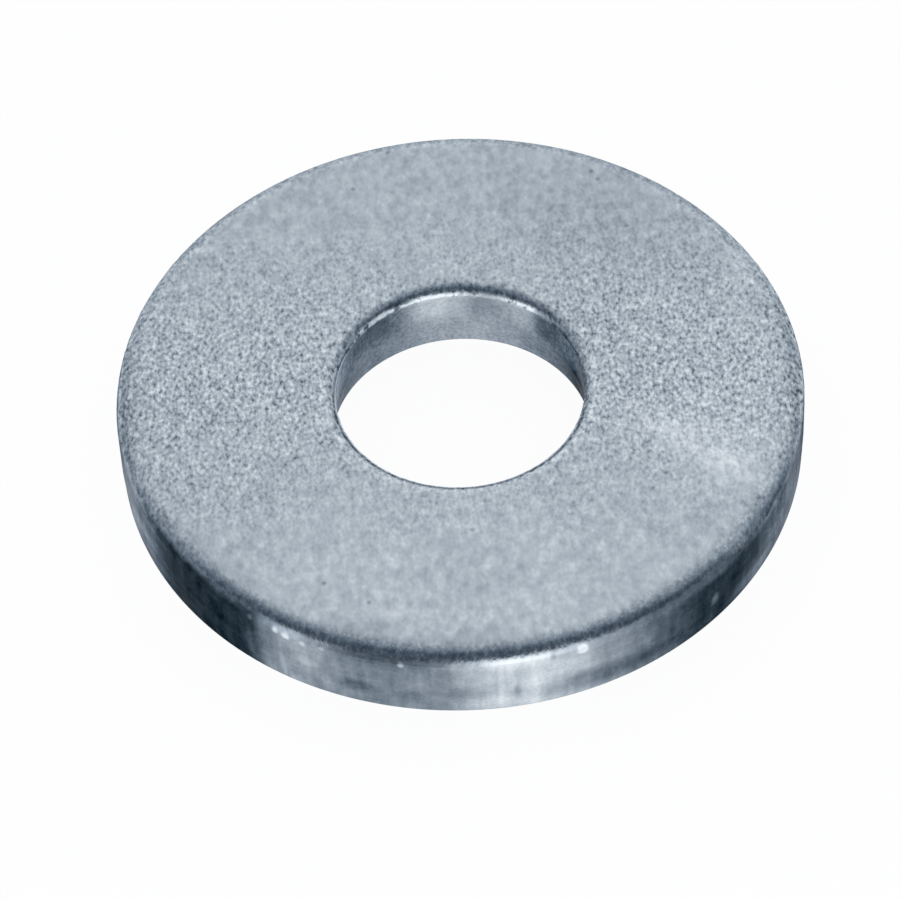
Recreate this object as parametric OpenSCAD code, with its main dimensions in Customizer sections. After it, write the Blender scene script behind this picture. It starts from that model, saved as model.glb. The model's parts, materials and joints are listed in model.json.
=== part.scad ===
// Heavy fender washer, blanked and pierced from flat plate in one stroke.
// Millimetres. The origin is the centre of the bore on the underside, and +Z points out of the
// top face. The washer lies flat on its underside.
//
// A press shears plate in a way that shows on every edge. The punch first drags the plate down,
// which rolls the edge of one face. It then cuts a smooth burnished band. Last the plate tears,
// and leaves a rougher wall that slopes away from the band. The rim and the bore are cut by the
// same stroke from opposite sides, so both rolled edges are on the top face.

/* [Washer] */
// Outside diameter, across the burnished band of the rim
outer_d = 24; // [20:0.5:40]
// Bore diameter, across the burnished band of the bore
bore_d = 8.7; // [5:0.1:12]
// Thickness of the plate
plate_t = 3; // [2.2:0.1:6]

/* [Rolled edges of the top face] */
// How far the rolled edge of the rim reaches in over the top face
rim_roll_w = 0.82; // [0.62:0.02:1.5]
// How far the rolled edge of the rim drops down the wall
rim_roll_h = 0.46; // [0.1:0.02:0.6]
// How far the rolled edge of the bore reaches out over the top face
bore_roll_w = 0.6; // [0.46:0.02:1.2]
// How far the rolled edge of the bore drops down the wall
bore_roll_h = 0.34; // [0.1:0.02:0.44]

/* [Sheared walls] */
// Height of the burnished band of the rim
rim_band_h = 1.3; // [0.4:0.05:1.6]
// How far the torn wall of the rim draws in at the underside
rim_tear_in = 0.05; // [0.02:0.01:0.2]
// Height of the burnished band of the bore
bore_band_h = 1.4; // [0.4:0.05:1.7]
// How far the torn wall of the bore opens out at the underside
bore_tear_out = 0.24; // [0.02:0.02:0.4]

/* [Edges of the underside] */
// Radius that tumbling leaves on the bottom edge of the rim
rim_edge_r = 0.12; // [0.04:0.01:0.25]
// Radius that tumbling leaves on the bottom edge of the bore
bore_edge_r = 0.1; // [0.04:0.01:0.25]

/* [Hidden] */
$fn = 180;

rim_r = outer_d / 2;
bore_r = bore_d / 2;
// How far a cutting shape reaches past the surface that it cuts
cut_past = 0.5;

// Radius of the arc that leaves a face smoothly, reaches w along it and drops h below it
function roll_radius(w, h) = (w * w + h * h) / (2 * h);

// Height of the torn wall between a burnished band and the underside
function tear_height(roll_h, band_h) = plate_t - roll_h - band_h;

// What a rolled edge takes off a square corner. The corner is at the origin, with the face to
// the left of it and the wall below it.
module rolled_off(w, h) {
  r = roll_radius(w, h);
  difference() {
    translate([-w, -h]) square([w + cut_past, h + cut_past]);
    translate([-w, -r]) circle(r);
  }
}

// What tumbling takes off the bottom corner of a torn wall. The corner is at the origin, with
// the underside to the left of it. The wall goes up from it and leans out by lean over lean_h,
// and the arc touches both.
module tumbled_off(r, lean, lean_h) {
  slope = norm([lean, lean_h]);
  reach = r * (slope - lean) / lean_h;
  touch = [r * lean_h / slope - reach, r - r * lean / slope];
  difference() {
    polygon([
      [-reach, -cut_past],
      [cut_past, -cut_past],
      [cut_past, touch.y],
      touch,
      [-reach, r]
    ]);
    translate([-reach, r]) circle(r);
  }
}

// The stretch of section between the line x = 0 and one sheared wall. The burnished band stands
// at x = wall_r, and the torn wall under it ends at x = foot_r on the underside.
module sheared_side(wall_r, foot_r, tear_h) {
  polygon([[0, 0], [foot_r, 0], [wall_r, tear_h], [wall_r, plate_t], [0, plate_t]]);
}

// The disc that the blanking die cuts out of the plate
module blank_section() {
  tear_h = tear_height(rim_roll_h, rim_band_h);
  foot_r = rim_r - rim_tear_in;
  difference() {
    sheared_side(rim_r, foot_r, tear_h);
    translate([rim_r, plate_t]) rolled_off(rim_roll_w, rim_roll_h);
    translate([foot_r, 0]) tumbled_off(rim_edge_r, rim_tear_in, tear_h);
  }
}

// All that the piercing punch takes out of the disc, with what its two edges lose
module pierced_section() {
  tear_h = tear_height(bore_roll_h, bore_band_h);
  foot_r = bore_r + bore_tear_out;
  sheared_side(bore_r, foot_r, tear_h);
  translate([0, plate_t]) square([bore_r, cut_past]);
  translate([0, -cut_past]) square([foot_r, cut_past]);
  translate([bore_r, plate_t]) mirror([1, 0]) rolled_off(bore_roll_w, bore_roll_h);
  translate([foot_r, 0]) mirror([1, 0]) tumbled_off(bore_edge_r, bore_tear_out, tear_h);
}

module washer() {
  color("lightsteelblue")
    rotate_extrude()
      difference() {
        blank_section();
        pierced_section();
      }
}

washer();
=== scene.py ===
# %% [markdown]
# # A fender washer in zinc-plated steel
#
# The object is one piece of plate. A press blanks the disc and pierces the bore in one stroke,
# a tumbler takes the burrs off, and a thin layer of zinc gives it its pale blue-grey colour.
# Nearly all of what the eye reads comes from two things: how the plate was sheared, which
# shapes its edges, and how it was tumbled, which gives its flat faces their grain.
#
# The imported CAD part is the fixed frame. Everything here is worked out in its metres.

# %% Load the frame and read the washer's box
import bpy
import bmesh
import json
import math
from mathutils import Matrix, Vector


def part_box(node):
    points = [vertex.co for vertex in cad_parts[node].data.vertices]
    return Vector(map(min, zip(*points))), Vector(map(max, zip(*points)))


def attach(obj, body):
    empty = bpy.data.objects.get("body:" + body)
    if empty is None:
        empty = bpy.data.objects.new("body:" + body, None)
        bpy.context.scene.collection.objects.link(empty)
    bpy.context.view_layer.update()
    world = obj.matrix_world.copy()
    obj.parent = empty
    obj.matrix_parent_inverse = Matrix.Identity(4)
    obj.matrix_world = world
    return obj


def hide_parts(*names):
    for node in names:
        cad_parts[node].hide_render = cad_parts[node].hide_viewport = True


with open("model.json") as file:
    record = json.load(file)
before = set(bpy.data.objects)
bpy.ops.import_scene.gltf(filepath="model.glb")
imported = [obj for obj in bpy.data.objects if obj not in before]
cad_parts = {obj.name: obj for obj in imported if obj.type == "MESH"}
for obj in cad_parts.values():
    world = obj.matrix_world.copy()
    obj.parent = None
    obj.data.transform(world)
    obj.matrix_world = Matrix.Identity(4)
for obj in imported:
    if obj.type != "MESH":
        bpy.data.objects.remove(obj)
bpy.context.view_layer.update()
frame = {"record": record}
MM = 0.001

low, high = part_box("washer")
RIM_R = round((high.x - low.x) / 2 / MM, 1)
PLATE_T = round((high.z - low.z) / MM, 2)
BORE_R = next(m["dims"]["r_mm"] for m in frame["record"]["mounts"] if m["name"] == "bore")
print(f"washer: rim radius {RIM_R} mm, bore radius {BORE_R} mm, plate {PLATE_T} mm")

# %% [markdown]
# ## The camera
#
# The photograph looks down on the washer from about fifty degrees above the table, through a
# long lens: the far half of the rim is hardly smaller than the near half. Its horizon is tipped
# by a few degrees. A camera could be set by eye, but the outline of a flat ring tells all of
# this exactly, so distance, height, tip and lens are real sizes found from the ring's two
# ellipses. A narrow lens far away also keeps the rings round at the picture's edges.

# %% Set the camera
CAMERA_DISTANCE = 182.0 * MM
CAMERA_ELEVATION = math.radians(50.27)
CAMERA_TIP = math.radians(-2.755)
CAMERA_LENS = 207.7
AIM_RIGHT = -0.446 * MM
AIM_UP = -1.326 * MM


def camera_matrix(centre):
    """Where the camera stands and how it is turned, as a matrix."""
    back = Vector((0, -math.cos(CAMERA_ELEVATION), math.sin(CAMERA_ELEVATION)))
    right = Vector((1, 0, 0))
    up = back.cross(right)
    place = centre + back * CAMERA_DISTANCE
    aim = centre + right * AIM_RIGHT + up * AIM_UP
    ahead = (aim - place).normalized()
    side = ahead.cross(up).normalized()
    top = side.cross(ahead)
    tipped_side = side * math.cos(CAMERA_TIP) + top * math.sin(CAMERA_TIP)
    tipped_top = top * math.cos(CAMERA_TIP) - side * math.sin(CAMERA_TIP)
    turn = Matrix((tipped_side, tipped_top, -ahead)).transposed()
    return Matrix.Translation(place) @ turn.to_4x4()


camera_data = bpy.data.cameras.new("camera")
camera_data.sensor_width = 36
camera_data.lens = CAMERA_LENS
camera_data.clip_start = 0.01
camera_data.clip_end = 10
camera = bpy.data.objects.new("camera", camera_data)
camera.matrix_world = camera_matrix(Vector((0, 0, PLATE_T * MM / 2)))
bpy.context.scene.collection.objects.link(camera)
bpy.context.scene.camera = camera
print("camera at", [round(c / MM, 1) for c in camera.matrix_world.translation], "mm")

# %% [markdown]
# ## One helper for every node
#
# Materials, the world and Geometry Nodes trees are all built from nodes. A function for each
# kind of node would hide what the node is, so one small function serves them all. It makes the
# node, sets its options, and then fills each socket with a value or a link. A node that is
# given as a value stands for its first output in use.

# %% Add a node
def add(tree, kind, sockets=None, **options):
    """A node of this kind, with its options set and its sockets filled or linked."""
    node = tree.nodes.new(kind)
    for name, value in options.items():
        setattr(node, name, value)
    in_use = [socket for socket in node.inputs if socket.enabled]
    for key, value in (sockets or {}).items():
        socket = in_use[key] if isinstance(key, int) else next(s for s in in_use if s.name == key)
        if isinstance(value, bpy.types.Node):
            value = next(output for output in value.outputs if output.enabled)
        if isinstance(value, bpy.types.NodeSocket):
            tree.links.new(value, socket)
        else:
            socket.default_value = value
    return node


# %% Turn a written colour into a linear one
def linear(hex_colour):
    """The linear colour that a shader needs, from an sRGB colour as a picture editor shows it."""
    parts = [int(hex_colour[i:i + 2], 16) / 255 for i in (1, 3, 5)]
    return [p / 12.92 if p <= 0.04045 else ((p + 0.055) / 1.055) ** 2.4 for p in parts] + [1.0]


print("middle grey is", [round(c, 3) for c in linear("#808080")], "in linear light")

# %% [markdown]
# ## The section of a sheared edge
#
# Seen in section, a blanked edge has four parts, and each catches the light in its own way. The
# face bends over in the *rolled edge*. A crisp *lip* ends it. Under the lip the wall is
# *burnished* by the tool, and below that the plate *tore*. The bore has the same parts, turned
# round. So one function draws the outline of an edge, and the rim and the bore both use it. It
# works in a plane: q is the depth into the plate, measured from the burnished wall, and z is
# the height. Every point also gets a zone number that tells the later steps which part of the
# edge it is on.

# %% Give the sizes of the two edges, in millimetres
RIM_EDGE = {"roll_w": 0.82, "roll_h": 0.46, "lip_r": 0.05, "band_h": 1.3, "tear": 0.05, "foot_r": 0.12}
BORE_EDGE = {"roll_w": 0.6, "roll_h": 0.34, "lip_r": 0.04, "band_h": 1.4, "tear": 0.24, "foot_r": 0.1}
FACE, LIP, BAND, TEAR, FOOT, UNDER = 0.0, 1.0, 1.2, 2.0, 3.0, 4.0
RINGS = {"roll": 14, "lip": 5, "band": 10, "tear": 10, "foot": 4, "face": 16, "under": 6}


def steps(a, b, count):
    """The values after a on the way to b, with b as the last."""
    return [a + (b - a) * i / count for i in range(1, count + 1)]


print("one edge has", sum(RINGS[part] for part in ("roll", "lip", "band", "tear", "foot")), "steps")


# %% Draw the section of one edge
def edge_outline(roll_w, roll_h, lip_r, band_h, tear, foot_r):
    """Points (q, z, zone) of one sheared edge, from the top face down to the underside."""
    roll_r = (roll_w ** 2 + roll_h ** 2) / (2 * roll_h)
    roll_end = math.asin((roll_w - lip_r) / (roll_r - lip_r))
    lip_z = PLATE_T - roll_r + (roll_r - lip_r) * math.cos(roll_end)
    tear_z = PLATE_T - roll_h - band_h
    slope = math.hypot(tear, tear_z)
    foot_q = tear + foot_r * (slope - tear) / tear_z
    foot_start = math.atan2(tear, tear_z)
    foot_top = foot_r * (1 - math.sin(foot_start))
    points = [(roll_w, PLATE_T, FACE)]
    for a in steps(0, roll_end, RINGS["roll"]):
        zone = FACE + (LIP - FACE) * a / roll_end
        points.append((roll_w - roll_r * math.sin(a), PLATE_T - roll_r * (1 - math.cos(a)), zone))
    for a in steps(roll_end, math.pi / 2, RINGS["lip"]):
        zone = LIP + (BAND - LIP) * (a - roll_end) / (math.pi / 2 - roll_end)
        points.append((lip_r * (1 - math.sin(a)), lip_z + lip_r * math.cos(a), zone))
    for t in steps(0, 1, RINGS["band"]):
        points.append((0, lip_z + (tear_z - lip_z) * t, BAND + (TEAR - BAND) * t))
    for t in steps(0, 1, RINGS["tear"]):
        z = tear_z + (foot_top - tear_z) * t
        points.append((tear * (1 - z / tear_z), z, TEAR + (FOOT - TEAR) * t))
    for a in steps(foot_start, math.pi / 2, RINGS["foot"]):
        zone = FOOT + (UNDER - FOOT) * (a - foot_start) / (math.pi / 2 - foot_start)
        points.append((foot_q - foot_r * math.cos(a), foot_r * (1 - math.sin(a)), zone))
    return points


# %% Join the two edges with the flat faces
def flat_outline(r_from, r_to, z, zone, count):
    """Points (r, z, zone) on a flat face, between two edges and without their own points."""
    return [(r, z, zone) for r in steps(r_from, r_to, count)[:-1]]


rim_side = [(RIM_R - q, z, zone) for q, z, zone in edge_outline(**RIM_EDGE)]
bore_side = [(BORE_R + q, z, zone) for q, z, zone in reversed(edge_outline(**BORE_EDGE))]
top = flat_outline(bore_side[-1][0], rim_side[0][0], PLATE_T, FACE, RINGS["face"])
under = flat_outline(rim_side[-1][0], bore_side[0][0], 0, UNDER, RINGS["under"])
outline = bore_side + top + rim_side + under
print(f"section: {len(outline)} points, {len(rim_side)} of them on the rim's edge")

# %% [markdown]
# ## Sweep the section round and wear it
#
# A washer is a section turned about an axis, so Geometry Nodes sweep the outline round a circle.
# A spin in mesh code would give the same ring. The tree is kept because the next steps follow
# the ring too, and can be changed without touching the outline: the lip is chipped, the band is
# scored from top to bottom by the tool, the torn wall is rough, and the line between band and
# tear wanders up and down. All of it is noise read in real millimetres at each point, and the
# zone number says how much of it a point gets.

# %% Make a mesh of the outline
PATH_R = (RIM_R + BORE_R) / 2
SEGMENTS = 900

section = bpy.data.meshes.new("washer_section")
corners = [((r - PATH_R) * MM, -z * MM, 0) for r, z, zone in outline]
section.from_pydata(corners, [(i, (i + 1) % len(corners)) for i in range(len(corners))], [])
zones = section.attributes.new("zone", "FLOAT", "POINT")
zones.data.foreach_set("value", [zone for r, z, zone in outline])
washer = bpy.data.objects.new("washer_plate", section)
bpy.context.scene.collection.objects.link(washer)
print(f"outline swept at radius {PATH_R:.3f} mm in {SEGMENTS} steps")

# %% Name the tree's inputs
WEAR = {
    "Path Radius": ("NodeSocketFloat", PATH_R * MM),
    "Segments": ("NodeSocketInt", SEGMENTS),
    "Face Swell": ("NodeSocketFloat", 0.004 * MM),
    "Lip Chips": ("NodeSocketFloat", 0.020 * MM),
    "Band Scores": ("NodeSocketFloat", 0.006 * MM),
    "Tear Roughness": ("NodeSocketFloat", 0.020 * MM),
    "Band Waver": ("NodeSocketFloat", 0.30 * MM),
    "Seed": ("NodeSocketFloat", 3.0),
    "Finish": ("NodeSocketMaterial", None),
}


def tree_with(name, extra_inputs):
    """An empty Geometry Nodes tree with a geometry passing through it and these inputs."""
    tree = bpy.data.node_groups.new(name, "GeometryNodeTree")
    tree.interface.new_socket("Geometry", in_out="INPUT", socket_type="NodeSocketGeometry")
    tree.interface.new_socket("Geometry", in_out="OUTPUT", socket_type="NodeSocketGeometry")
    for label, (kind, value) in extra_inputs.items():
        socket = tree.interface.new_socket(label, in_out="INPUT", socket_type=kind)
        if value is not None:
            socket.default_value = value
    return tree


sweep = tree_with("sweep_and_wear", WEAR)
given = add(sweep, "NodeGroupInput").outputs
print(f"tree {sweep.name} takes", ", ".join(WEAR))

# %% Sweep the outline round a circle
profile = add(sweep, "GeometryNodeMeshToCurve", {"Mesh": given["Geometry"]})
path = add(sweep, "GeometryNodeCurvePrimitiveCircle", {
    "Resolution": given["Segments"], "Radius": given["Path Radius"]})
ring = add(sweep, "GeometryNodeCurveToMesh", {"Curve": path, "Profile Curve": profile})
position = add(sweep, "GeometryNodeInputPosition")
in_mm = add(sweep, "ShaderNodeVectorMath", {0: position, "Scale": 1 / MM}, operation="SCALE")
zone = add(sweep, "GeometryNodeInputNamedAttribute", {"Name": "zone"}, data_type="FLOAT")
print("the ring is swept from", len(outline), "points")


# %% Write the two helpers that the wear needs
def hat(tree, value, left, top_from, top_to, right):
    """A weight that rises from left to top_from, stays at one, and falls from top_to to right."""
    rise = add(tree, "ShaderNodeMapRange", {"Value": value, "From Min": left, "From Max": top_from},
               interpolation_type="SMOOTHSTEP")
    fall = add(tree, "ShaderNodeMapRange", {"Value": value, "From Min": right, "From Max": top_to},
               interpolation_type="SMOOTHSTEP")
    return add(tree, "ShaderNodeMath", {0: rise, 1: fall}, operation="MULTIPLY")


def swing(tree, drawn_out, size_mm, detail, weight, reach):
    """Noise between -1 and 1 with this grain, times a weight and how far it may reach."""
    place = add(tree, "ShaderNodeVectorMath", {0: in_mm, 1: drawn_out}, operation="MULTIPLY")
    noise = add(tree, "ShaderNodeTexNoise", {
        "Vector": place, "W": given["Seed"], "Scale": 1 / size_mm, "Detail": detail},
        noise_dimensions="4D")
    centred = add(tree, "ShaderNodeMapRange", {"Value": noise, "To Min": -1, "To Max": 1})
    weighed = add(tree, "ShaderNodeMath", {0: centred, 1: weight}, operation="MULTIPLY")
    return add(tree, "ShaderNodeMath", {0: weighed, 1: reach}, operation="MULTIPLY")


ALL_WAYS, UP_THE_WALL = (1, 1, 1), (1, 1, 0.06)

# %% Move the tear line, then push the surface in and out
wavy = hat(sweep, zone, BAND, TEAR, TEAR, FOOT)
waver = swing(sweep, UP_THE_WALL, 3.2, 1, wavy, given["Band Waver"])
lifted = add(sweep, "ShaderNodeCombineXYZ", {"Z": waver})
wavered = add(sweep, "GeometryNodeSetPosition", {"Geometry": ring, "Offset": lifted})

on_face = add(sweep, "ShaderNodeMapRange", {"Value": zone, "From Min": 0.5, "From Max": 0})
on_lip = hat(sweep, zone, 0.7, 1.0, 1.2, 1.35)
on_band = hat(sweep, zone, 1.1, 1.3, 1.9, 2.1)
on_tear = hat(sweep, zone, 1.95, 2.2, 2.8, 3.0)
reliefs = [
    swing(sweep, ALL_WAYS, 1.4, 2, on_face, given["Face Swell"]),
    swing(sweep, ALL_WAYS, 0.22, 2, on_lip, given["Lip Chips"]),
    swing(sweep, UP_THE_WALL, 0.30, 3, on_band, given["Band Scores"]),
    swing(sweep, ALL_WAYS, 0.28, 3, on_tear, given["Tear Roughness"]),
]
total = reliefs[0]
for relief in reliefs[1:]:
    total = add(sweep, "ShaderNodeMath", {0: total, 1: relief}, operation="ADD")
outward = add(sweep, "GeometryNodeInputNormal")
push = add(sweep, "ShaderNodeVectorMath", {0: outward, "Scale": total}, operation="SCALE")
worn = add(sweep, "GeometryNodeSetPosition", {"Geometry": wavered, "Offset": push})
print("kinds of relief:", len(reliefs))

# %% Finish the tree as real geometry with its material
smooth = add(sweep, "GeometryNodeSetShadeSmooth", {"Geometry": worn})
real = add(sweep, "GeometryNodeRealizeInstances", {"Geometry": smooth})
finished = add(sweep, "GeometryNodeSetMaterial", {"Geometry": real, "Material": given["Finish"]})
add(sweep, "NodeGroupOutput", {"Geometry": finished})
print(f"tree {sweep.name}: {len(sweep.nodes)} nodes")

# %% [markdown]
# ## Zinc over tumbled steel
#
# The washer is low-carbon steel with a few microns of zinc, put on in a barrel after tumbling.
# Zinc gives the eye a cool grey, bluer the darker it gets. Tumbling leaves it matte, so it shows
# no picture of the room, only how bright the room is on that side.
#
# The metal could be painted in colours, one pattern over the other. Here everything is worked out as one
# number, the tone, from 0 for black to 1 for white, and a single ramp turns the finished tone into the
# colour of zinc. That way grain, streaks, painted light and shade, and polish can't drift apart in hue. A
# tone is about what the render shows where the room is at full brightness.

# %% Find where on the washer each point is
zinc = bpy.data.materials.new("zinc_plated_tumbled_steel")
zinc.use_nodes = True
metal = zinc.node_tree
metal.nodes.clear()

own_space = add(metal, "ShaderNodeTexCoord").outputs["Object"]
place = add(metal, "ShaderNodeVectorMath", {0: own_space, "Scale": 1 / MM}, operation="SCALE")
x, y, z = add(metal, "ShaderNodeSeparateXYZ", {0: place}).outputs
edge_part = add(metal, "ShaderNodeAttribute", attribute_name="zone").outputs["Fac"]
flat = add(metal, "ShaderNodeCombineXYZ", {"X": x, "Y": y})
radius = add(metal, "ShaderNodeVectorMath", {0: flat}, operation="LENGTH")
in_bore = add(metal, "ShaderNodeMath", {0: radius, 1: PATH_R}, operation="LESS_THAN")
print("material", zinc.name, "is measured in millimetres")

# %% [markdown]
# ## The direction that the metal faces
#
# The rim faces outwards and the bore faces inwards, so the same light falls on opposite sides of
# them. The direction that the metal faces, in degrees from the front and positive to the right,
# takes care of both. With the height it also unrolls the wall into a flat strip, on which a mark
# has a plain place and size.

# %% Unroll the walls
frontward = add(metal, "ShaderNodeMath", {0: y, 1: -1}, operation="MULTIPLY")
turned = add(metal, "ShaderNodeMath", {0: x, 1: frontward}, operation="ARCTAN2")
turned = add(metal, "ShaderNodeMath", {0: turned}, operation="DEGREES")
across = add(metal, "ShaderNodeMath", {0: in_bore, 1: 180, 2: turned}, operation="MULTIPLY_ADD")
facing = add(metal, "ShaderNodeMath", {0: across, 1: 180, 2: -180}, operation="WRAP")
unrolled = add(metal, "ShaderNodeCombineXYZ", {"X": facing, "Y": z})
print("a degree on the rim is", round(math.radians(1) * RIM_R, 3), "mm")


# %% Write the three helpers that the tones need
def layered(tree, base, *layers):
    """The base tone with layers added to it, each as a value and its weight."""
    total = base
    for value, weight in layers:
        total = add(tree, "ShaderNodeMath", {0: value, 1: weight, 2: total}, operation="MULTIPLY_ADD")
    return total


def oval(tree, spot, centre, half_sizes, turned=0.0):
    """A weight of one inside an oval patch, fading to nothing at its edge."""
    own = add(tree, "ShaderNodeMapping", {
        "Vector": spot, "Location": centre, "Rotation": (0, 0, turned), "Scale": half_sizes},
        vector_type="TEXTURE")
    away = add(tree, "ShaderNodeVectorMath", {0: own}, operation="LENGTH")
    return add(tree, "ShaderNodeMapRange", {"Value": away, "From Min": 1, "From Max": 0.2},
               interpolation_type="SMOOTHSTEP")


def around(tree, facing, tones):
    """A value looked up by direction on a smooth curve through points (degrees, value)."""
    share = add(tree, "ShaderNodeMapRange", {"Value": facing, "From Min": -180, "From Max": 180})
    curve = add(tree, "ShaderNodeFloatCurve", {"Value": share})
    points = curve.mapping.curves[0].points
    points[0].location = (0, tones[0][1])
    points[1].location = (1, tones[-1][1])
    for degrees, tone in tones[1:-1]:
        points.new((degrees + 180) / 360, tone)
    for point in points:
        point.handle_type = "AUTO_CLAMPED"
    curve.mapping.update()
    return curve


# %% [markdown]
# ## The grain of the face
#
# Tumbling with stones covers the face with dents about an eighth of a millimetre across, a
# little longer along Y, the way the plate was rolled. Some are deeper and darker than the rest.
# They lie in loose clusters. The grain is crisp in a belt across the middle of the washer and
# softens towards the front and the back, a little less on the rolled edges than on the flat. It
# could be modelled as relief, but at two or three pixels a dent it is far too fine for the mesh,
# so tone, gloss and bump share one noise.

# %% Make the noise of the grain
GRAIN_MM = 0.126
CLUSTER_MM = 0.29
MOTTLE_MM = 3.0
LONGER_ALONG_Y = (1, 0.66, 1)
BELT_MIDDLE_Y, BELT_REACH, BELT_WAVER = 0.5, 9.0, 1.3

rolled = add(metal, "ShaderNodeVectorMath", {0: place, 1: LONGER_ALONG_Y}, operation="MULTIPLY")
grain = add(metal, "ShaderNodeTexNoise", {
    "Vector": rolled, "Scale": 1 / GRAIN_MM, "Detail": 1, "Roughness": 0.55}, normalize=False)
cluster = add(metal, "ShaderNodeTexNoise", {
    "Vector": rolled, "Scale": 1 / CLUSTER_MM, "Detail": 1}, normalize=False)
mottle = add(metal, "ShaderNodeTexNoise", {
    "Vector": place, "Scale": 1 / MOTTLE_MM, "Detail": 1}, normalize=False)

off_middle = add(metal, "ShaderNodeMath", {0: y, 1: BELT_MIDDLE_Y}, operation="SUBTRACT")
off_middle = add(metal, "ShaderNodeMath", {0: off_middle}, operation="ABSOLUTE")
belt = add(metal, "ShaderNodeMapRange", {
    "Value": layered(metal, off_middle, (mottle, BELT_WAVER)), "From Min": BELT_REACH, "From Max": 0},
    interpolation_type="SMOOTHSTEP")
print(f"grain {GRAIN_MM} mm, in clusters of {CLUSTER_MM} mm")

# %% Work out the tone of the face
FACE_TONE = 0.734

dent = add(metal, "ShaderNodeMapRange", {"Value": grain, "From Min": -0.3, "From Max": -1.0})
on_roll = hat(metal, edge_part, 0.05, 0.30, 0.85, 1.10)
off_belt = add(metal, "ShaderNodeMath", {0: 1, 1: belt}, operation="SUBTRACT")
rough_roll = add(metal, "ShaderNodeMath", {0: on_roll, 1: off_belt}, operation="MULTIPLY")
face = layered(
    metal, FACE_TONE,
    (grain, layered(metal, 0.056, (belt, 0.211), (rough_roll, 0.07))),
    (cluster, layered(metal, 0.087, (belt, -0.010))),
    (dent, layered(metal, 0.0, (belt, -0.15))),
    (mottle, 0.011),
    # Painted light: the face turns slightly lighter to the right and darker towards the back.
    (x, 0.0005),
    (y, -0.0009))
print("the face has a tone of about", FACE_TONE)

# %% [markdown]
# ## Marks on the face
#
# Broad patches of painted light and shade make the face a little lighter or darker: the front is paler,
# and the left and right edges are duller. On the right the face is scuffed, where another washer rubbed
# along it in the barrel. The rubbing fills the dents, so the grain is weaker there. Here and there is a
# single black pit. A random pattern would put them anywhere, so each has its own place, in millimetres
# from the middle of the bore.

# %% Add the patches of painted light and shade, the scuff and the pits
# Painted light and shade: broad lighter and darker patches on the face.
LIGHT_AND_SHADE_PATCHES = [
    # (x, y), (half length, half width), turned by degrees, tone
    ((5.2, 7.6), (6.0, 4.2), -35, -0.034),
    ((8.8, -3.2), (4.2, 3.0), -35, 0.034),
    ((9.0, -4.0), (1.8, 1.0), -37, 0.028),
    ((-0.5, -8.6), (10.5, 5.2), 0, 0.034),
    ((0.2, -8.4), (3.6, 2.2), 0, -0.028),
    ((-3.4, -10.7), (2.4, 0.8), -18, -0.050),
    ((-8.6, -7.2), (4.5, 0.7), -50, -0.035),
    ((0.2, -11.2), (2.6, 0.8), 1, -0.060),
    ((11.6, 1.0), (0.9, 5.0), 0, -0.055),
    ((-11.6, 0.0), (0.9, 4.8), 0, -0.070),
]
SCUFF = ((8.3, -3.5), (4.2, 1.3), -37)
PITS = [
    (-2.2, 11.1), (-3.5, 9.4), (5.1, 9.7), (5.3, 9.3), (6.2, 7.0), (-4.9, -8.5), (-3.4, -9.4),
    (-7.5, -3.2), (-4.0, -3.4), (0.2, -6.5), (3.7, -5.5), (6.9, -4.4), (6.4, -3.4)]
PIT_R, PIT_TONE = 0.13, -0.15

for (px, py), (length, width), degrees, tone in LIGHT_AND_SHADE_PATCHES:
    light_and_shade_patch = oval(metal, place, (px, py, PLATE_T), (length, width, 1), math.radians(degrees))
    face = layered(metal, face, (light_and_shade_patch, tone))
(px, py), (length, width), degrees = SCUFF
rubbed = oval(metal, place, (px, py, PLATE_T), (length, width, 1), math.radians(degrees))
broken = add(metal, "ShaderNodeMapRange", {"Value": cluster, "From Min": -0.35, "From Max": 0.45})
filled = add(metal, "ShaderNodeMath", {0: rubbed, 1: grain}, operation="MULTIPLY")
face = layered(metal, face, (rubbed, layered(metal, 0.034, (broken, 0.012))), (filled, -0.07))
for px, py in PITS:
    pit = oval(metal, place, (px, py, PLATE_T), (PIT_R, PIT_R, 1))
    face = layered(metal, face, (pit, PIT_TONE))
print(f"{len(LIGHT_AND_SHADE_PATCHES)} patches, one scuff and {len(PITS)} pits")

# %% [markdown]
# ## The sheared walls
#
# The sheared wall is nearly a mirror, so its tone round the ring is partly its own burnish and partly
# painted light and shade: the room's reflection, with a bright front and two dark flanks, is painted on
# the metal as colour. A noise could decide where, but the eye knows this washer by its bright front and
# its two dark flanks. A smooth curve by direction holds them. It has a point only where the wall turns
# lighter or darker, or where the change gets faster or slower.

# %% Work out the tones of the two walls, painted light and shade included
# Each point of a curve is a direction in degrees and a tone.
# The tones are partly the wall's own burnish and partly painted light and shade: the room's reflection,
# fixed to the direction that the wall faces.
RIM_LIGHT_AND_SHADE_TONES = [
    (-180, 0.60), (-87, 0.32), (-71, 0.58), (-64, 0.50), (-47, 0.14), (-38, 0.28), (-30, 0.63),
    (-19, 0.52), (-7, 0.54), (6, 0.81), (22, 0.64), (36, 0.33), (47, 0.18), (70, 0.52), (90, 0.28),
    (118, 0.48), (180, 0.60)]
BORE_LIGHT_AND_SHADE_TONES = [
    (-180, 0.50), (-95, 0.32), (-72, 0.48), (-45, 0.36), (-32, 0.70), (-14, 0.58), (8, 0.80),
    (20, 0.68), (45, 0.36), (82, 0.68), (180, 0.50)]
BORE_FOOT_LIGHT_AND_SHADE_TONES = [
    (-180, 0.50), (-82, 0.15), (-60, 0.38), (-38, 0.54), (-2, 0.66), (34, 0.52), (62, 0.50),
    (180, 0.50)]
TOP_ENDS_Z, FOOT_STARTS_Z = 2.15, 1.15

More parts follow.
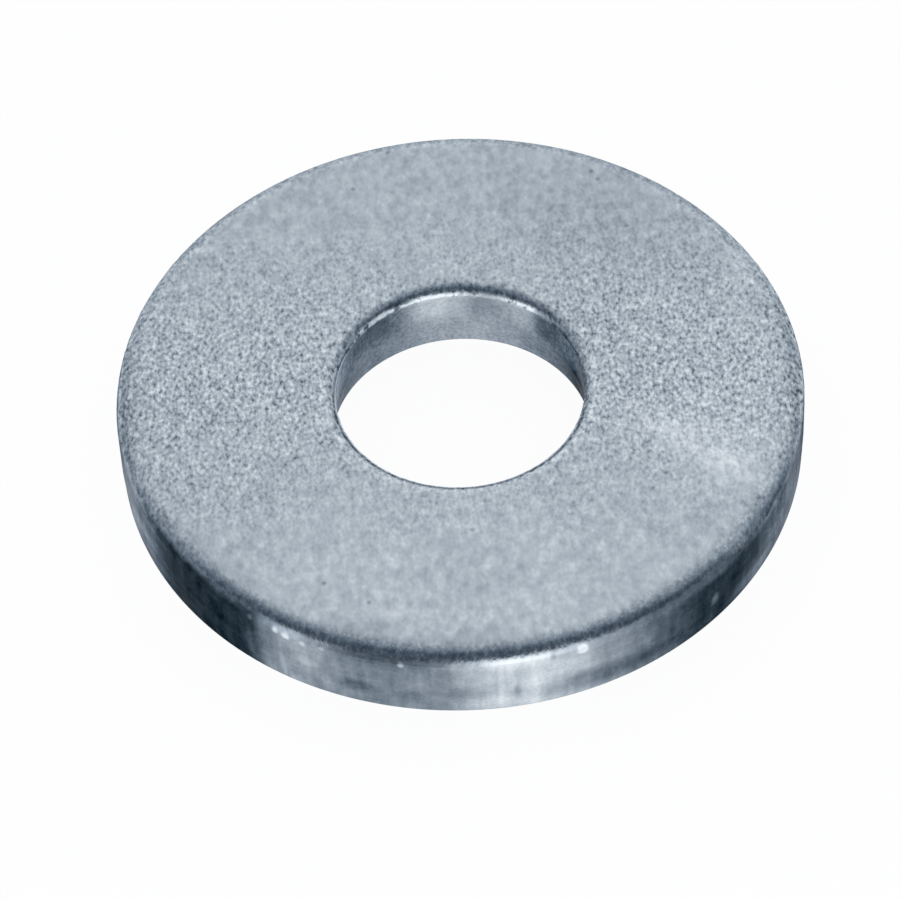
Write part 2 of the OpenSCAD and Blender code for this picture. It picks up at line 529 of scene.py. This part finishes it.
# Painted light and shade of the walls, looked up by the direction that each one faces.
rim_wall_light_and_shade = around(metal, facing, RIM_LIGHT_AND_SHADE_TONES)
bore_top_light_and_shade = around(metal, facing, BORE_LIGHT_AND_SHADE_TONES)
bore_foot_light_and_shade = around(metal, facing, BORE_FOOT_LIGHT_AND_SHADE_TONES)
to_foot = add(metal, "ShaderNodeMapRange", {
    "Value": z, "From Min": TOP_ENDS_Z, "From Max": FOOT_STARTS_Z}, interpolation_type="SMOOTHSTEP")
bore_wall_light_and_shade = add(metal, "ShaderNodeMix", {"Factor": to_foot, "A": bore_top_light_and_shade, "B": bore_foot_light_and_shade})
print(f"wall tones: {len(RIM_LIGHT_AND_SHADE_TONES)} points round the rim, {len(BORE_LIGHT_AND_SHADE_TONES)} round the bore")

# %% Add the marks of painted light and shade on the rim's wall
# Lighter and darker patches of painted light and shade in the wall's reflection of the room.
RIM_LIGHT_AND_SHADE_MARKS = [
    # degrees and height of the middle, half width in degrees and half height in mm, tone
    (20, 0.75, 13.0, 0.80, -0.19), (7, 1.00, 0.9, 0.50, -0.11), (-19, 0.95, 4.8, 0.50, -0.09),
    (-10.5, 0.85, 3.6, 0.45, -0.08), (-1, 1.00, 4.5, 0.60, -0.07), (4.5, 1.20, 1.0, 2.00, 0.05),
    (9.5, 1.10, 2.4, 2.00, 0.06), (-28, 1.50, 3.0, 0.40, 0.10), (44, 1.28, 1.4, 0.42, 0.22),
    (60, 1.10, 10.0, 0.80, 0.08), (-67, 1.30, 9.0, 0.40, 0.08), (-66, 2.05, 9.0, 0.40, -0.07),
    (-68, 0.30, 12.0, 0.40, -0.07), (-39, 1.20, 1.5, 0.90, 0.09), (-24, 0.60, 2.6, 0.60, 0.06),
    (-32.5, 0.70, 1.2, 0.90, 0.07), (14, 2.00, 3.0, 0.50, 0.05), (-5, 2.10, 5.0, 0.45, -0.04),
    (8, 2.52, 11.0, 0.45, 0.09), (-15, 2.62, 11.0, 0.60, -0.09), (45, 2.62, 10.0, 0.48, 0.18),
    (56, 2.62, 8.0, 0.42, 0.13), (-66, 2.62, 8.0, 0.18, -0.14), (54, 0.40, 9.0, 0.70, 0.24),
    (31, 0.72, 5.0, 0.45, -0.09), (-47, 2.40, 6.0, 0.35, 0.06)]

# Each mark paints a lighter or darker patch of light and shade onto the wall.
for degrees, height, half_width, half_height, tone in RIM_LIGHT_AND_SHADE_MARKS:
    light_and_shade_mark = oval(metal, unrolled, (degrees, height, 0), (half_width, half_height, 1))
    rim_wall_light_and_shade = layered(metal, rim_wall_light_and_shade, (light_and_shade_mark, tone))
print(len(RIM_LIGHT_AND_SHADE_MARKS), "marks on the rim's wall")

# %% Draw soft streaks down and along both walls
STREAK_MM, BLOTCH_MM, DRAG_MM = 0.32, 0.8, 0.42
LONG_DOWN, LONG_ALONG = (1, 1, 0.2), (0.22, 0.22, 1)
LESS_IN_BORE = -0.45

wall = add(metal, "ShaderNodeMix", {"Factor": in_bore, "A": rim_wall_light_and_shade, "B": bore_wall_light_and_shade})
down = add(metal, "ShaderNodeVectorMath", {0: place, 1: LONG_DOWN}, operation="MULTIPLY")
streak = add(metal, "ShaderNodeTexNoise", {
    "Vector": down, "Scale": 1 / STREAK_MM, "Detail": 2}, normalize=False)
along = add(metal, "ShaderNodeVectorMath", {0: place, 1: LONG_ALONG}, operation="MULTIPLY")
drag = add(metal, "ShaderNodeTexNoise", {
    "Vector": along, "Scale": 1 / DRAG_MM, "Detail": 1}, normalize=False)
blotch = add(metal, "ShaderNodeTexNoise", {
    "Vector": place, "Scale": 1 / BLOTCH_MM, "Detail": 1}, normalize=False)
rim_share = layered(metal, 1.0, (in_bore, LESS_IN_BORE))
for pattern, weight in ((streak, 0.058), (blotch, 0.065), (drag, 0.036)):
    weight_here = add(metal, "ShaderNodeMath", {0: rim_share, 1: weight}, operation="MULTIPLY")
    wall = layered(metal, wall, (pattern, weight_here))
wall = layered(metal, wall, (grain, layered(metal, 0.050, (belt, 0.080))))
print(f"streaks are {STREAK_MM} mm wide and {1 / LONG_DOWN[2]:.0f} times as long")

# %% [markdown]
# ## From the face to the wall
#
# Most of what shows on a rolled edge is the room: the metal bends away from the bright side of the studio
# and so turns dark by itself. Painting all of that would only get in the way, so the face's own tone goes
# on down the roll, with a little painted shade in a line just above the lip. The wall's tone, with its
# painted light and shade, takes over near the lip, higher up on the dark flanks. The change is ragged
# like the grain.

# %% Blend the face into the wall
WALL_STARTS = [
    # degrees, how far down the roll the wall's tone starts
    (-180, 0.90), (-75, 0.80), (-65, 0.74), (-56, 0.64), (-43, 0.62), (-37, 0.60), (-32, 0.66),
    (-22, 0.64), (-8, 0.64), (10, 0.66), (20, 0.60), (30, 0.56), (45, 0.58), (55, 0.74), (66, 0.66),
    (76, 0.80), (100, 0.90), (180, 0.90)]
WALL_FADE = 0.28
ROLL_SHADE_TONES = [
    # degrees, how much darker the painted shade makes the roll
    (-180, 0.03), (-90, 0.02), (-75, 0.01), (-64, 0.02), (-58, 0.06), (-50, 0.11), (-42, 0.17),
    (-30, 0.10), (-15, 0.02), (0, 0.02), (25, 0.02), (40, 0.0), (80, 0.0), (96, 0.04), (110, 0.03),
    (180, 0.03)]

ragged = layered(metal, edge_part, (grain, 0.05), (cluster, 0.05))
# Painted shade: a darker line low on the roll, just above the lip, heaviest on the left front.
painted_roll_shade = hat(metal, ragged, 0.10, 0.66, 0.76, 0.92)
roll_shade_here = around(metal, facing, ROLL_SHADE_TONES)
painted_roll_shade = add(metal, "ShaderNodeMath", {0: painted_roll_shade, 1: roll_shade_here}, operation="MULTIPLY")
bore_roll = add(metal, "ShaderNodeMath", {0: on_roll, 1: in_bore}, operation="MULTIPLY")
face = layered(metal, face, (painted_roll_shade, -1), (bore_roll, 0.02))
start = around(metal, facing, WALL_STARTS)
wall_share = add(metal, "ShaderNodeMapRange", {
    "Value": ragged, "From Min": start, "From Max": layered(metal, WALL_FADE, (start, 1))},
    interpolation_type="SMOOTHSTEP")
past_foot = add(metal, "ShaderNodeMapRange", {"Value": edge_part, "From Min": 3.3, "From Max": 3.0})
wall_share = add(metal, "ShaderNodeMath", {0: wall_share, 1: past_foot}, operation="MULTIPLY")
tone = add(metal, "ShaderNodeMix", {"Factor": wall_share, "A": face, "B": wall})
starts = [share for degrees, share in WALL_STARTS]
print(f"the wall takes over from {min(starts)} to {max(starts) + WALL_FADE:.2f} of the way down the roll")

# %% [markdown]
# ## The rubbed lip and its painted glints
#
# The lip stands proud, so it gets rubbed. The bore's lip shows a thin bright line with small gaps: partly
# polish from the bolts and pins that go through it, partly a painted highlight. On the rim the lip has a
# few long, faint stretches of painted light and shade, all but one of them lighter, a few small bright
# blobs that are painted glints, and two dark nicks that are painted gaps in the glint.

# %% Polish the lip and paint its glints
SPECK_MM = 0.22
POLISH_AND_GLINT_TONE = 0.50
LIP_POLISH_AND_GLINT = [
    # degrees, how much of the polish and painted highlight shows
    (-180, 0.0), (-100, 0.23), (-75, 0.30), (-60, 0.30), (-48, 0.36), (-40, 0.50), (-30, 0.76),
    (-10, 0.76), (10, 0.68), (24, 0.76), (36, 1.0), (84, 1.0), (100, 0.7), (180, 0.0)]
# Painted highlights and shade on the rim's roll and lip: faint stretches, glints and gaps.
LIP_LIGHT_AND_SHADE_MARKS = [
    # degrees and height of the middle, half width in degrees and half height in mm, tone
    (8, 2.58, 11.0, 0.20, 0.05), (-31, 2.60, 5.5, 0.20, 0.05), (51, 2.86, 9.0, 0.11, 0.10),
    (54, 2.66, 11.0, 0.10, 0.09), (-45, 2.66, 7.0, 0.11, 0.11), (-60, 2.55, 4.0, 0.10, -0.06),
    (18, 2.47, 1.3, 0.27, 0.34), (-11.7, 2.50, 0.8, 0.18, 0.28), (13, 2.50, 0.7, 0.20, -0.12),
    (9.5, 2.60, 0.5, 0.15, -0.10), (-38.5, 2.50, 0.8, 0.17, 0.18), (-33.5, 2.50, 0.9, 0.20, 0.28),
    (-31.5, 2.44, 1.2, 0.23, 0.30), (-28.5, 2.40, 0.9, 0.18, 0.20), (-25, 2.48, 0.8, 0.15, 0.12)]

speck = add(metal, "ShaderNodeTexNoise", {"Vector": place, "Scale": 1 / SPECK_MM, "Detail": 1})
proud = add(metal, "ShaderNodeMapRange", {"Value": speck, "From Min": 0.28, "From Max": 0.48})
# The bore's lip is lightened: partly polish, partly a painted highlight.
polish_and_glint = hat(metal, ragged, 0.66, 0.84, 1.04, 1.26)
for part in (proud, around(metal, facing, LIP_POLISH_AND_GLINT), in_bore):
    polish_and_glint = add(metal, "ShaderNodeMath", {0: polish_and_glint, 1: part}, operation="MULTIPLY")
tone = layered(metal, tone, (polish_and_glint, POLISH_AND_GLINT_TONE))
on_rim = add(metal, "ShaderNodeMath", {0: 1, 1: in_bore}, operation="SUBTRACT")
# Painted glints and gaps on the rim's lip.
for degrees, height, half_width, half_height, lighter in LIP_LIGHT_AND_SHADE_MARKS:
    light_and_shade_mark = oval(metal, unrolled, (degrees, height, 0), (half_width, half_height, 1))
    light_and_shade_mark = add(metal, "ShaderNodeMath", {0: light_and_shade_mark, 1: on_rim}, operation="MULTIPLY")
    tone = layered(metal, tone, (light_and_shade_mark, lighter))
print(len(LIP_LIGHT_AND_SHADE_MARKS), "marks on the rim's roll and lip")

# %% [markdown]
# ## From tone to metal
#
# The ramp holds the colour of zinc at six tones. Any metal turns whiter at a grazing angle. Here the tint
# at grazing angles is only partly pale grey, and the rest is the metal's own colour. At the sides, where
# a wall is seen almost edge-on, the metal's own colour is the larger share, which is painted shade that
# keeps the flanks dark. The face is matte and the polished walls are glossier. The rim's right flank is
# torn and rough, so it doesn't flare up where it's seen edge-on. The grain is a shallow bump too, so that
# it also shows where the light comes in low.

# %% Turn the tone into colour
ZINC_TONES = [
    (0.07, "#0C171E"), (0.25, "#37434D"), (0.42, "#5F6C78"), (0.60, "#8F9AA6"), (0.78, "#BDC7D0"),
    (0.95, "#EBF2F8")]
EDGE_TINT = linear("#F0F2F5")
# Degrees, and how much of the tint at grazing angles is that pale grey.
# Less grey at the sides is painted shade: it keeps the flanks dark where they are seen edge-on.
GREY_SHARES_AND_SIDE_SHADE = [(-180, 0.3), (-68, 0.3), (-52, 0.5), (52, 0.5), (68, 0.3), (180, 0.3)]


def fill(ramp, stops):
    """Puts stops of a position and a written colour on a ramp node, and gives the node back."""
    elements = ramp.color_ramp.elements
    elements.remove(elements[1])
    elements[0].position, elements[0].color = stops[0][0], linear(stops[0][1])
    for position, colour in stops[1:]:
        elements.new(position).color = linear(colour)
    return ramp


colour = fill(add(metal, "ShaderNodeValToRGB", {"Fac": tone}), ZINC_TONES)
grey_share_and_side_shade = around(metal, facing, GREY_SHARES_AND_SIDE_SHADE)
edge_colour = add(metal, "ShaderNodeMix", {"Factor": grey_share_and_side_shade, "A": colour, "B": EDGE_TINT},
                  data_type="RGBA")
print(f"colour of zinc at {len(ZINC_TONES)} tones")

# %% Set gloss and bump, and finish the metal
MATTE, BURNISHED = 0.38, 0.34
BUMP_DEPTH = 0.025 * MM

base_gloss = add(metal, "ShaderNodeMix", {"Factor": wall_share, "A": MATTE, "B": BURNISHED})
right_flank = hat(metal, facing, 72, 84, 100, 120)
right_flank = add(metal, "ShaderNodeMath", {0: right_flank, 1: on_rim}, operation="MULTIPLY")
right_flank = add(metal, "ShaderNodeMath", {0: right_flank, 1: wall_share}, operation="MULTIPLY")
gloss = layered(metal, base_gloss, (grain, 0.09), (on_roll, -0.14), (right_flank, 0.30))
relief = layered(metal, 0.08, (on_roll, 0.035), (wall_share, -0.06))
height = add(metal, "ShaderNodeMath", {0: grain, 1: relief}, operation="MULTIPLY")
bump = add(metal, "ShaderNodeBump", {"Height": height, "Strength": 1.0, "Distance": BUMP_DEPTH})
shader = add(metal, "ShaderNodeBsdfPrincipled", {
    "Base Color": colour, "Metallic": 1.0, "Roughness": gloss, "Specular Tint": edge_colour,
    "Normal": bump})
add(metal, "ShaderNodeOutputMaterial", {"Surface": shader})
print(f"{zinc.name}: {len(metal.nodes)} nodes")

# %% [markdown]
# ## The washer as a plain mesh
#
# The tree could stay on the piece as a live modifier. An export has no use for one, so the
# result is kept as a mesh of its own. A ring that was swept from a closed outline should have no
# open edge and nearly the volume of the CAD part, and both are cheap to check.

# %% Run the tree and keep what it makes
def bake_tree(piece, tree, values):
    """Runs the tree on the piece with these inputs, and leaves the result as its own mesh."""
    modifier = piece.modifiers.new(tree.name, "NODES")
    modifier.node_group = tree
    sockets = {s.name: s.identifier for s in tree.interface.items_tree if s.in_out == "INPUT"}
    for label, value in values.items():
        modifier[sockets[label]] = value
    graph = bpy.context.evaluated_depsgraph_get()
    mesh = bpy.data.meshes.new_from_object(piece.evaluated_get(graph))
    piece.modifiers.remove(modifier)
    piece.data = mesh
    return mesh


values = {label: value for label, (kind, value) in WEAR.items()}
values["Finish"] = zinc
mesh = bake_tree(washer, sweep, values)

# %% Check the mesh and hand it to the frame
checked = bmesh.new()
checked.from_mesh(mesh)
open_edges = sum(1 for edge in checked.edges if not edge.is_manifold)
volume = checked.calc_volume(signed=True) / MM ** 3
checked.free()
triangles = sum(len(p.vertices) - 2 for p in mesh.polygons)
print(f"washer: {triangles} triangles, {open_edges} open edges, {volume:.1f} cubic mm")

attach(washer, "root")
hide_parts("washer")

# %% [markdown]
# ## The floor
#
# The washer lies on white paper that goes on to the horizon. Lit only by the studio the paper
# would come out grey, and more light would bleach the washer. So the camera, and the metal that
# mirrors the paper, mostly see it glow white, while the washer still gets only the light that
# real paper gives back. The rest is plain paper, which keeps the washer's faint shadow.
#
# Two surfaces in exactly the same plane show through one another, and the washer's underside is
# exactly at zero. It really stands on the high points of its grain, so the paper may lie a few
# hundredths of a millimetre lower.

# %% Lay the paper
GLOW_SHARE = 0.93
GLOW = 1.03
PAPER_COLOUR = "#F4F4F4"
PAPER_Z = -0.02 * MM

floor_data = bpy.data.meshes.new("floor")
paper_corners = [(-1, -1, PAPER_Z), (1, -1, PAPER_Z), (1, 1, PAPER_Z), (-1, 1, PAPER_Z)]
floor_data.from_pydata(paper_corners, [], [(0, 1, 2, 3)])
floor = bpy.data.objects.new("floor", floor_data)
bpy.context.scene.collection.objects.link(floor)


def white_paper():
    """White paper: plain and dull, and glowing white for the camera and for mirrors."""
    material = bpy.data.materials.new("white_paper_sweep")
    material.use_nodes = True
    tree = material.node_tree
    tree.nodes.clear()
    rays = add(tree, "ShaderNodeLightPath").outputs
    seen = add(tree, "ShaderNodeMath", {0: rays["Is Camera Ray"], 1: rays["Is Glossy Ray"]},
               operation="MAXIMUM")
    seen = add(tree, "ShaderNodeMath", {0: seen, 1: rays["Is Transmission Ray"]}, operation="MAXIMUM")
    share = add(tree, "ShaderNodeMath", {0: seen, 1: GLOW_SHARE}, operation="MULTIPLY")
    paper = add(tree, "ShaderNodeBsdfDiffuse", {"Color": linear(PAPER_COLOUR)})
    glow = add(tree, "ShaderNodeEmission", {"Strength": GLOW})
    mixed = add(tree, "ShaderNodeMixShader", {"Fac": share, 1: paper, 2: glow})
    add(tree, "ShaderNodeOutputMaterial", {"Surface": mixed})
    return material


floor_data.materials.append(white_paper())
print("paper of", [round(side, 1) for side in floor.dimensions], "m")

# %% [markdown]
# ## The lamps
#
# Three soft boxes stand low in front and at the sides. They hardly light the face: a matte metal
# shows a lamp mostly where it bends the light into the lens, and that is on the lower part of the
# rolled edge, just above the lip. Side by side the boxes draw one thin line round the back of
# the bore, and on the rim they show most in the lighter stretches of the lip.

# %% Hang the soft boxes
def soft_box(name, azimuth, elevation, distance, width, height, radiance):
    """A soft box aimed at the washer. Azimuth 0 is the front, and 90 is to the right."""
    data = bpy.data.lights.new(name, "AREA")
    data.shape = "RECTANGLE"
    data.size = width
    data.size_y = height
    data.energy = radiance * math.pi * width * height
    box = bpy.data.objects.new(name, data)
    a, e = math.radians(azimuth), math.radians(elevation)
    place = Vector((math.sin(a) * math.cos(e), -math.cos(a) * math.cos(e), math.sin(e))) * distance
    box.location = place
    box.rotation_euler = (-place).to_track_quat("-Z", "Y").to_euler()
    bpy.context.scene.collection.objects.link(box)
    print(f"{name}: {data.energy:.3f} W")
    return box


SOFT_BOXES = [
    # name, azimuth and elevation in degrees, distance, width and height in metres, radiance
    ("front_box", 15.5, 20, 0.4, 0.24, 0.25, 0.60),
    ("right_box", 58, 15, 0.4, 0.36, 0.19, 0.28),
    ("left_box", -66, 17.5, 0.4, 0.34, 0.22, 0.48),
]
for settings in SOFT_BOXES:
    soft_box(*settings)

# %% [markdown]
# ## The studio around it
#
# Everything else that the washer mirrors is a white tent with a window high up behind it. The
# tent is as bright as the cosine of the angle from that window, which makes the face pale and
# the near rolled edges dark. Low in front it brightens again a little, as the table's end does.
# A sky picture could do this too, but a rule keeps it plain and gives the same result each run.

# %% Build the world
TENT = [(0.12, "#57636E"), (0.30, "#87939E"), (0.60, "#CACED2"), (0.95, "#FFFFFF")]
WINDOW = Vector((0, 0.85, 0.52)).normalized()
TABLE_END = "#D0D3D6"
LOW_FROM, LOW_FULL = 0.62, 0.35
FRONT_FROM, FRONT_FULL = 0.0, -0.4

world = bpy.data.worlds.new("studio_tent")
world.use_nodes = True
studio = world.node_tree
studio.nodes.clear()
direction = add(studio, "ShaderNodeTexCoord").outputs["Generated"]
cosine = add(studio, "ShaderNodeVectorMath", {0: direction, 1: WINDOW}, operation="DOT_PRODUCT")
tent = fill(add(studio, "ShaderNodeValToRGB", {"Fac": cosine}), TENT)
_, ahead, up = add(studio, "ShaderNodeSeparateXYZ", {0: direction}).outputs
is_low = add(studio, "ShaderNodeMapRange", {
    "Value": up, "From Min": LOW_FROM, "From Max": LOW_FULL}, interpolation_type="SMOOTHSTEP")
is_front = add(studio, "ShaderNodeMapRange", {
    "Value": ahead, "From Min": FRONT_FROM, "From Max": FRONT_FULL}, interpolation_type="SMOOTHSTEP")
low_front = add(studio, "ShaderNodeMath", {0: is_low, 1: is_front}, operation="MULTIPLY")
light = add(studio, "ShaderNodeMix", {"Factor": low_front, "A": tent, "B": linear(TABLE_END)},
            data_type="RGBA")
sky = add(studio, "ShaderNodeBackground", {"Color": light, "Strength": 1.0})
add(studio, "ShaderNodeOutputWorld", {"Surface": sky})
bpy.context.scene.world = world
bpy.context.scene.view_settings.view_transform = "Standard"
print(f"{world.name}: {len(studio.nodes)} nodes")
